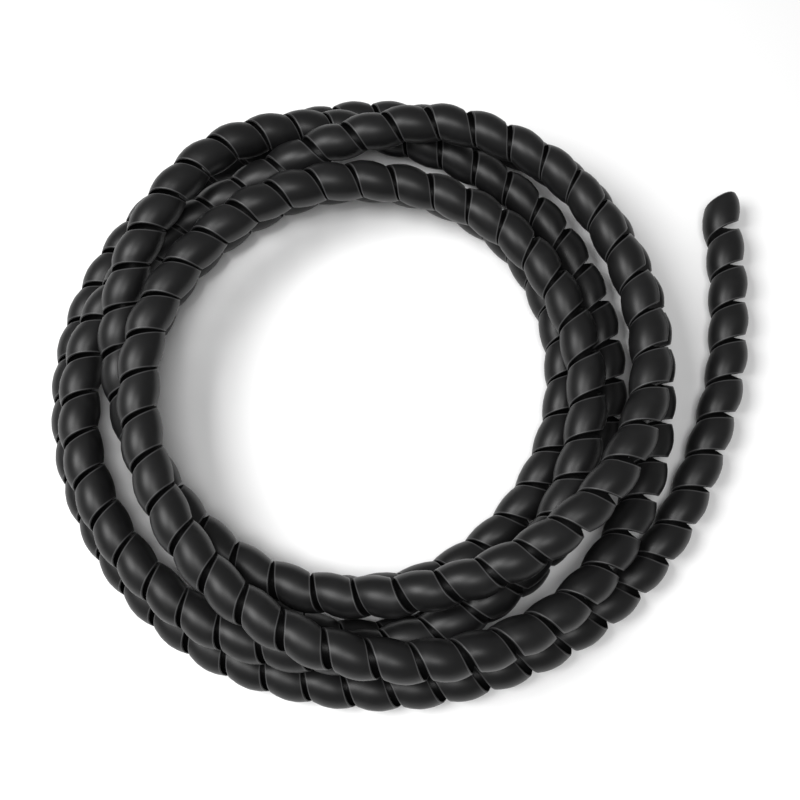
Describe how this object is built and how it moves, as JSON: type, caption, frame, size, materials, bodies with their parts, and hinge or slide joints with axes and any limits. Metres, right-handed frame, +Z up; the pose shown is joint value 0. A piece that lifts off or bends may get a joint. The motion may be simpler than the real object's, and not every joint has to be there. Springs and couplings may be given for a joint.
{
  "type": "spiral cable wrap",
  "caption": "Flexible strip of black plastic wound as an open spiral that wraps around cables, laid as a loose hand-wound coil with one free end.",
  "frame": {"origin": "middle of the footprint of the whole coil and its free end, on the level floor it lies on", "axes": "+Z up; +X towards the side where the free end lies; +Y along the free end, out of its bore"},
  "size_m": [0.2826, 0.254, 0.0514],
  "materials": {
    "black_plastic": "satin"
  },
  "bodies": {
    "root": {"spiral_wrap": "black_plastic"}
  },
  "joints": []
}
